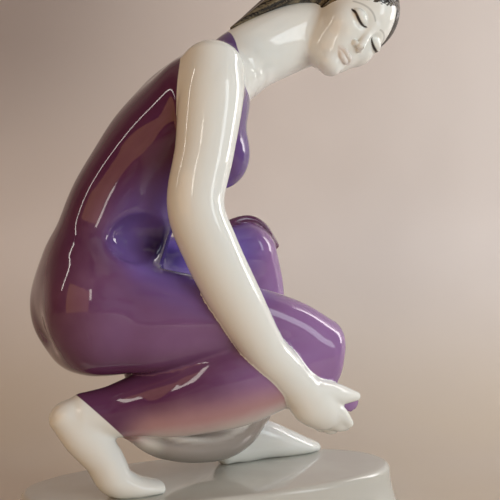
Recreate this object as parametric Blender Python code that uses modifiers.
"""Crouching girl: a glazed porcelain figurine, cast in one piece with its oval base.

Metres, +Z up. X runs along the base, the way the girl faces, and +Y is her left.
The origin is the centre of the base's flat underside. The girl crouches on the
ball of her right foot, with her left foot flat and her left knee drawn up. Her
right arm reaches down past the right knee and pinches a fold of cloth.
"""

import math

import bmesh
import bpy
from mathutils import Matrix, Vector

# Driving dimensions, in metres.
FIGURE_HEIGHT = 0.2455  # crown of the hair above the top of the base
BASE_LENGTH = 0.180  # at the top edge
BASE_WIDTH = 0.080  # at the top edge
BASE_THICKNESS = 0.024
BASE_FLARE = 0.005  # how far the wall's foot stands out beyond its top edge
BASE_EDGE_RADIUS = 0.003
BASE_FULLNESS = 2.3  # exponent of the oval: 2 is an ellipse, more is squarer
BASE_CENTRE_Y = 0.005  # the base reaches a little further on the left foot's side
FOOT_SINK = 0.0006  # how deep the glaze beds the feet into the base

# How the surface is made. All are lengths at the modelled height.
VOXEL = 0.0016
SMOOTHING_PASSES = 7
FIGURE_TRIANGLES = 8600
RING_SIDES = 32
STEPS_BETWEEN_STATIONS = 5
BASE_SIDES = 96

# The pose below is in millimetres of a figure of this height, above the base's top.
MODELLED_HEIGHT = 245.5
UNIT = FIGURE_HEIGHT / MODELLED_HEIGHT

# Each station is x, y, z, half-width across the body, half-depth the other way.
TORSO = (
    (-60.0, 1.0, 66.0, 29.0, 18.0),
    (-59.5, 1.0, 82.0, 37.5, 25.0),
    (-56.0, 1.0, 97.0, 32.0, 25.5),
    (-52.0, 1.0, 109.0, 22.0, 24.0),
    (-46.5, 1.0, 124.0, 21.5, 23.5),
    (-39.0, 0.5, 138.0, 26.0, 23.0),
    (-29.0, 0.0, 152.5, 32.5, 23.5),
    (-17.0, 0.0, 167.0, 33.0, 22.5),
    (-5.5, 0.0, 180.0, 28.0, 19.5),
    (6.0, 0.0, 187.5, 20.0, 11.5),
)
TORSO_FULLNESS = 2.5  # a flat back and front between rounded sides
NECK = (
    (-3.0, 0.0, 182.5, 23.0, 12.5),
    (11.0, 0.5, 194.0, 15.6, 15.2),
    (27.4, 2.5, 203.1, 13.0, 16.0),
    (44.0, 5.0, 211.0, 12.8, 16.0),
    (60.5, 7.0, 217.0, 13.5, 16.0),
)
RIGHT_ARM = (
    (-16.0, -31.0, 183.5, 12.4, 13.0),
    (-19.5, -37.0, 169.0, 13.0, 13.6),
    (-24.5, -42.5, 146.0, 11.8, 12.2),
    (-29.5, -46.0, 124.0, 11.4, 11.6),
    (-23.0, -45.5, 106.0, 11.3, 11.6),
    (-10.5, -43.0, 84.5, 10.8, 11.0),
    (3.2, -40.0, 64.5, 9.2, 9.2),
    (12.7, -38.5, 54.9, 8.6, 8.8),
    (22.4, -36.0, 45.5, 8.0, 8.4),
)
RIGHT_HAND = (
    (22.7, -36.0, 45.3, 8.0, 8.4),
    (28.6, -35.0, 39.2, 9.0, 10.2),
    (35.0, -33.0, 33.7, 8.8, 8.6),
    (40.5, -32.0, 31.0, 6.8, 6.0),
)
FINGERS = (
    # x, y, z of the knuckle, the middle joint and the tip, then the thickness there
    (((35.5, -36.5, 37.5), (42.8, -36.0, 32.2), (48.6, -34.0, 27.4)), (4.2, 3.6, 2.1)),
    (((36.5, -33.0, 33.0), (43.0, -33.0, 27.8), (48.4, -31.0, 25.6)), (4.1, 3.5, 2.2)),
    (((35.5, -30.0, 31.0), (41.6, -29.0, 25.5), (46.0, -26.0, 24.6)), (3.9, 3.3, 2.1)),
    (((33.5, -28.0, 31.6), (38.6, -26.0, 25.9), (43.0, -23.0, 25.2)), (3.6, 3.0, 2.0)),
)
RIGHT_THUMB = ((30.0, -36.8, 43.8), (41.0, -35.5, 41.2), (53.8, -31.5, 38.9))
THUMB_THICKNESS = (5.8, 5.0, 2.1)
HELD_CLOTH = (
    (44.0, -31.5, 37.4, 2.2, 2.4),
    (49.5, -30.0, 36.2, 2.4, 3.8),
    (53.5, -28.6, 35.6, 2.0, 4.2),
    (55.6, -27.5, 34.6, 1.3, 3.0),
)
LEFT_ARM = (
    (-12.0, 30.0, 180.5, 12.2, 13.0),
    (-6.0, 38.0, 164.0, 12.0, 12.4),
    (1.0, 44.0, 141.0, 10.8, 11.2),
    (6.0, 47.0, 121.0, 10.4, 10.2),
    (14.0, 47.8, 112.0, 9.2, 9.0),
    (23.0, 47.0, 107.5, 7.6, 7.2),
    (30.5, 45.0, 106.5, 6.6, 6.0),
)
LEFT_HAND = (
    (29.5, 45.5, 106.5, 6.8, 5.6),
    (33.5, 42.5, 106.0, 8.0, 5.0),
    (37.0, 38.0, 105.0, 8.0, 4.4),
    (40.3, 32.5, 104.5, 6.5, 3.0),
)
RIGHT_THIGH = (
    (-60.0, -15.0, 77.0, 20.0, 22.0),
    (-42.0, -20.0, 76.0, 20.0, 22.5),
    (-20.0, -24.0, 75.5, 17.5, 19.0),
    (4.0, -24.5, 74.0, 15.4, 15.6),
    (23.0, -24.0, 67.5, 15.3, 15.9),
    (36.0, -23.5, 59.0, 15.8, 17.2),
)
RIGHT_SHIN = (
    (36.3, -23.5, 57.0, 15.6, 17.4),
    (18.0, -24.0, 55.5, 17.7, 20.5),
    (-6.0, -23.0, 49.5, 18.3, 22.0),
    (-28.0, -19.5, 42.5, 15.3, 17.5),
    (-44.0, -16.5, 39.5, 11.5, 13.5),
    (-56.0, -15.0, 37.5, 9.2, 11.0),
    (-68.0, -14.5, 37.5, 8.0, 8.6),
)
RIGHT_FOOT = (
    (-75.5, -14.5, 37.0, 7.0, 7.2),
    (-68.0, -14.5, 28.5, 7.8, 8.8),
    (-59.5, -14.2, 18.0, 8.4, 8.2),
    (-54.0, -13.6, 8.5, 9.2, 7.6),
    (-46.0, -13.2, 4.6, 9.4, 5.2),
    (-38.5, -13.0, 3.4, 8.6, 3.6),
    (-34.6, -13.0, 2.8, 7.0, 3.0),
)
LEFT_THIGH = (
    (-52.0, 16.0, 84.0, 22.0, 22.0),
    (-30.0, 21.0, 89.0, 20.0, 21.0),
    (-6.0, 26.0, 95.0, 17.5, 18.5),
    (12.0, 28.5, 100.5, 16.0, 16.5),
    (25.0, 29.0, 104.3, 15.4, 15.5),
)
LEFT_SHIN = (
    (25.0, 29.0, 104.3, 15.4, 15.5),
    (27.5, 29.0, 86.0, 15.6, 17.6),
    (27.0, 28.0, 62.0, 15.6, 18.0),
    (24.5, 26.0, 42.0, 14.0, 15.0),
    (21.5, 24.5, 30.0, 11.5, 12.0),
)
LEFT_ANKLE = (
    (21.0, 24.5, 32.0, 8.0, 9.0),
    (18.0, 23.5, 20.0, 7.0, 8.0),
    (14.0, 22.0, 9.0, 6.6, 7.2),
)
LEFT_FOOT = (
    (10.5, 21.0, 6.4, 6.6, 6.2),
    (20.0, 22.5, 9.5, 7.4, 9.6),
    (33.0, 24.5, 10.0, 8.6, 9.6),
    (46.0, 26.5, 7.0, 9.4, 7.2),
    (58.0, 29.0, 4.2, 8.8, 4.4),
    (64.0, 30.0, 3.0, 6.4, 3.0),
)
SKIRT_SWAG = (
    (-46.0, -8.0, 26.0, 8.0, 3.0),
    (-28.0, 0.0, 19.5, 16.0, 8.0),
    (-6.0, 8.0, 17.5, 18.5, 11.2),
    (10.0, 14.0, 20.0, 17.0, 12.0),
    (22.0, 19.0, 28.0, 13.0, 12.0),
)
# The skirt's sheet across the lap, and what hangs from it between the legs.
LAP_SLOPE = (0.0, 1.0, 0.42)
LAP = (
    (-52.0, 1.0, 80.0, 27.0, 22.0),
    (-32.0, 1.0, 79.0, 27.0, 17.0),
    (-10.0, 2.0, 78.0, 27.0, 12.0),
    (8.0, 2.5, 75.0, 26.0, 9.0),
    (19.0, 3.0, 71.0, 24.0, 7.0),
)
SKIRT_FILL = (
    (-20.0, 2.0, 74.0, 22.0, 30.0),
    (-14.0, 4.0, 56.0, 21.0, 31.0),
    (-6.0, 7.0, 38.0, 19.0, 27.0),
    (0.0, 10.0, 22.0, 16.0, 20.0),
)
KNEE_FOLD = (
    (7.0, 22.0, 115.5, 1.2, 1.2),
    (15.5, 24.0, 119.0, 1.9, 2.0),
    (23.5, 25.5, 120.9, 2.1, 2.2),
    (29.5, 26.5, 120.1, 2.1, 2.2),
    (34.6, 27.0, 116.8, 2.1, 2.2),
    (38.0, 27.0, 112.0, 2.1, 2.2),
    (40.2, 26.0, 107.6, 2.2, 2.3),
)
BODY_SWELLS = (
    # centre, then radii along x, y and z: buttocks, shoulders, bust
    ((-62.0, -16.0, 79.0), (22.5, 21.5, 25.5)),
    ((-62.0, 18.0, 79.0), (22.5, 21.5, 25.5)),
    ((-17.5, -19.0, 168.5), (19.5, 22.0, 22.0)),
    ((-15.5, 18.5, 167.5), (19.5, 22.0, 22.0)),
    ((-12.0, 0.0, 150.0), (14.0, 24.0, 15.0)),
    ((-7.5, -16.0, 148.0), (13.5, 15.0, 15.5)),
    ((-7.0, 16.0, 148.0), (13.5, 15.0, 15.5)),
)

# The head, in its own axes: x out of the face, y to its left, z to its crown. Centres and
# radii are shares of the head's height, with the middle of the skull at the origin.
HEAD_HEIGHT = 62.0
SKULL_CENTRE = (69.5, -2.6, 222.0)
HEAD_UP = (0.705, -0.148, 0.694)
HEAD_FORWARD = (0.139, -0.918, -0.337)
SKULL = ((0.0, 0.0, 0.0), (0.375, 0.315, 0.355))
HAIR = ((-0.025, 0.0, 0.015), (0.39, 0.34, 0.365))
FACE = (
    ((0.13, 0.0, -0.15), (0.245, 0.255, 0.30)),
    ((0.165, 0.0, -0.36), (0.215, 0.195, 0.215)),
    ((0.27, 0.0, -0.51), (0.11, 0.115, 0.10)),
    ((0.21, -0.115, -0.24), (0.14, 0.135, 0.15)),
    ((0.21, 0.115, -0.24), (0.14, 0.135, 0.15)),
)
NOSE = (
    ((0.335, 0.0, -0.13), (0.03, 0.028, 0.07)),
    ((0.365, 0.0, -0.22), (0.035, 0.032, 0.07)),
    ((0.385, 0.0, -0.285), (0.042, 0.042, 0.036)),
)
LIPS = (
    ((0.325, 0.0, -0.375), (0.04, 0.07, 0.022)),
    ((0.315, 0.0, -0.415), (0.04, 0.06, 0.024)),
)
HAIR_TAIL = (
    (58.0, 2.0, 231.0, 17.0, 11.0),
    (48.0, 4.0, 232.0, 14.5, 8.5),
    (39.0, 5.0, 230.0, 12.0, 6.2),
    (30.0, 5.0, 225.5, 9.0, 4.4),
    (21.0, 4.0, 219.5, 6.0, 3.0),
    (13.0, 2.0, 213.7, 3.6, 2.0),
    (5.5, 0.0, 208.6, 1.4, 1.0),
)

WHITE_GLAZE = (0.83, 0.81, 0.75, 1.0)


def placed(x, y, z):
    """A point of the pose, in metres, standing on the base."""
    return Vector((x, y, z)) * UNIT + Vector((0, 0, BASE_THICKNESS - FOOT_SINK))


def glaze(name, colour):
    """A glossy material of one colour."""
    material = bpy.data.materials.new(name)
    material.use_nodes = True
    shader = material.node_tree.nodes["Principled BSDF"]
    shader.inputs["Base Color"].default_value = colour
    shader.inputs["Roughness"].default_value = 0.08
    shader.inputs["Metallic"].default_value = 0.0
    return material


def between(a, b, c, d, t):
    """Catmull-Rom value at t of the way from b to c."""
    return 0.5 * (
        2 * b + (c - a) * t + (2 * a - 5 * b + 4 * c - d) * t * t + (3 * b - a - 3 * c + d) * t**3
    )


def smooth_stations(stations):
    """The stations with more between them on a smooth curve, as (centre, half-width, half-depth)."""
    rows = [Vector(row) for row in stations]
    padded = [rows[0] * 2 - rows[1], *rows, rows[-1] * 2 - rows[-2]]
    made = []
    for a, b, c, d in zip(padded, padded[1:], padded[2:], padded[3:]):
        for step in range(STEPS_BETWEEN_STATIONS):
            made.append(between(a, b, c, d, step / STEPS_BETWEEN_STATIONS))
    made.append(rows[-1])
    return [(placed(*row[:3]), row[3] * UNIT, row[4] * UNIT) for row in made]


def oval(fullness, sides):
    """Points round a curve between an ellipse (fullness 2) and a rectangle, one unit each way."""
    power = 2 / fullness
    for k in range(sides):
        c, s = math.cos(math.tau * k / sides), math.sin(math.tau * k / sides)
        yield math.copysign(abs(c) ** power, c), math.copysign(abs(s) ** power, s)


def loft(shells, stations, across=(0, 1, 0), fullness=2.0):
    """Adds a closed tube through the stations, with domed ends; its width lies along across."""
    rows = smooth_stations(stations)
    centres = [row[0] for row in rows]
    rings = []
    for i, (centre, wide, deep) in enumerate(rows):
        along = (centres[min(i + 1, len(rows) - 1)] - centres[max(i - 1, 0)]).normalized()
        side = Vector(across)
        side = (side - along * side.dot(along)).normalized()
        rings.append((centre, along, side, along.cross(side), wide, deep))
    rings = domed(rings[0], -1)[::-1] + rings + domed(rings[-1], 1)
    loops = []
    for centre, _, side, up, wide, deep in rings:
        outline = oval(fullness, RING_SIDES)
        points = [centre + side * wide * x + up * deep * y for x, y in outline]
        loops.append([shells.verts.new(point) for point in points])
    for low, high in zip(loops, loops[1:]):
        for k in range(RING_SIDES):
            m = (k + 1) % RING_SIDES
            shells.faces.new((low[k], low[m], high[m], high[k]))
    shells.faces.new(loops[0][::-1])
    shells.faces.new(loops[-1])


def domed(ring, way):
    """The rings that close a tube's end in a dome, from the tube outwards."""
    centre, along, side, up, wide, deep = ring
    reach = 0.8 * min(wide, deep)
    return [
        (centre + along * way * reach * math.sin(a), along, side, up, wide * math.cos(a), deep * math.cos(a))
        for a in (math.radians(22), math.radians(45), math.radians(66), math.radians(82))
    ]


def limb(shells, joints, thickness):
    """A round tapering tube through a few joints, such as a finger."""
    loft(shells, [(*joint, half, half) for joint, half in zip(joints, thickness)])


def ellipsoid(shells, centre, radii, axes=Matrix.Identity(4)):
    """Adds an ellipsoid whose radii lie along the given axes."""
    shape = Matrix.Diagonal((*[r * UNIT for r in radii], 1))
    bmesh.ops.create_uvsphere(
        shells,
        u_segments=RING_SIDES,
        v_segments=RING_SIDES // 2,
        radius=1,
        matrix=Matrix.Translation(centre) @ axes @ shape,
    )


def head_axes():
    """The turn of the head as a 4x4 matrix, from its tilt and where the face looks."""
    up = Vector(HEAD_UP).normalized()
    forward = Vector(HEAD_FORWARD)
    forward = (forward - up * forward.dot(up)).normalized()
    return Matrix((forward, up.cross(forward), up)).transposed().to_4x4()


def add_head(shells):
    """The skull, hair and face, and the tail of hair laid along the neck."""
    axes = head_axes()
    for centre, radii in (SKULL, HAIR, *FACE, *NOSE, *LIPS):
        offset = axes.to_3x3() @ Vector(centre) * HEAD_HEIGHT * UNIT
        ellipsoid(shells, placed(*SKULL_CENTRE) + offset, [r * HEAD_HEIGHT for r in radii], axes)
    loft(shells, HAIR_TAIL)


def add_arms(shells):
    loft(shells, RIGHT_ARM)
    loft(shells, RIGHT_HAND)
    for joints, thickness in FINGERS:
        limb(shells, joints, thickness)
    limb(shells, RIGHT_THUMB, THUMB_THICKNESS)
    loft(shells, HELD_CLOTH)
    loft(shells, LEFT_ARM)
    loft(shells, LEFT_HAND)


def add_body(shells):
    loft(shells, TORSO, fullness=TORSO_FULLNESS)
    loft(shells, NECK)
    for centre, radii in BODY_SWELLS:
        ellipsoid(shells, placed(*centre), radii)
    for stations in (RIGHT_THIGH, RIGHT_SHIN, RIGHT_FOOT, LEFT_THIGH, LEFT_SHIN, LEFT_ANKLE, LEFT_FOOT):
        loft(shells, stations)
    loft(shells, LAP, LAP_SLOPE)
    loft(shells, SKIRT_FILL)
    loft(shells, SKIRT_SWAG)
    loft(shells, KNEE_FOLD)


def make_figure(collection):
    """The girl alone: overlapping shells fused by a voxel remesh, with soft creases."""
    shells = bmesh.new()
    add_body(shells)
    add_arms(shells)
    add_head(shells)
    bmesh.ops.recalc_face_normals(shells, faces=shells.faces)
    mesh = bpy.data.meshes.new("figure_shells")
    shells.to_mesh(mesh)
    shells.free()
    figure = bpy.data.objects.new("figure_shells", mesh)
    collection.objects.link(figure)
    fuse = figure.modifiers.new("fuse", "REMESH")
    fuse.mode = "VOXEL"
    fuse.voxel_size = VOXEL
    soften = figure.modifiers.new("soften", "SMOOTH")
    soften.factor = 0.5
    soften.iterations = SMOOTHING_PASSES
    thin = figure.modifiers.new("thin", "DECIMATE")
    fused = applied(figure, upto=2)
    quads = len(fused.polygons)
    thin.ratio = FIGURE_TRIANGLES / (2 * quads)
    return figure


def applied(thing, upto=None):
    """The object's evaluated mesh, with only its first modifiers on if upto is given."""
    for n, modifier in enumerate(thing.modifiers):
        modifier.show_viewport = upto is None or n < upto
        modifier.show_render = modifier.show_viewport
    graph = bpy.context.evaluated_depsgraph_get()
    mesh = bpy.data.meshes.new_from_object(thing.evaluated_get(graph))
    for modifier in thing.modifiers:
        modifier.show_viewport = modifier.show_render = True
    return mesh


def make_base(collection):
    """The low oval base: a flared wall under a flat top with a rounded edge."""
    spread = 2 * BASE_FLARE
    sizes = ((0, BASE_LENGTH + spread, BASE_WIDTH + spread), (BASE_THICKNESS, BASE_LENGTH, BASE_WIDTH))
    shape = bmesh.new()
    loops = []
    for z, length, width in sizes:
        outline = oval(BASE_FULLNESS, BASE_SIDES)
        points = [(x * length / 2, y * width / 2 + BASE_CENTRE_Y, z) for x, y in outline]
        loops.append([shape.verts.new(point) for point in points])
    for k in range(BASE_SIDES):
        m = (k + 1) % BASE_SIDES
        shape.faces.new((loops[0][k], loops[0][m], loops[1][m], loops[1][k]))
    shape.faces.new(loops[0][::-1])
    top = shape.faces.new(loops[1])
    rim = list(top.edges)
    bmesh.ops.bevel(shape, geom=rim, offset=BASE_EDGE_RADIUS, segments=4, profile=0.5, affect="EDGES")
    mesh = bpy.data.meshes.new("base")
    shape.to_mesh(mesh)
    shape.free()
    base = bpy.data.objects.new("figurine", mesh)
    collection.objects.link(base)
    return base


def main():
    for thing in list(bpy.data.objects):
        bpy.data.objects.remove(thing)
    parts = bpy.data.collections.new("crouching_girl")
    cutters = bpy.data.collections.new("working_shapes")
    for collection in (parts, cutters):
        bpy.context.scene.collection.children.link(collection)
    girl = make_figure(cutters)
    girl.hide_render = True
    girl.display_type = "WIRE"
    figurine = make_base(parts)
    join = figurine.modifiers.new("girl", "BOOLEAN")
    join.operation = "UNION"
    join.object = girl
    figurine.data.materials.append(glaze("white_glaze", WHITE_GLAZE))
    figurine.data.shade_smooth()


main()
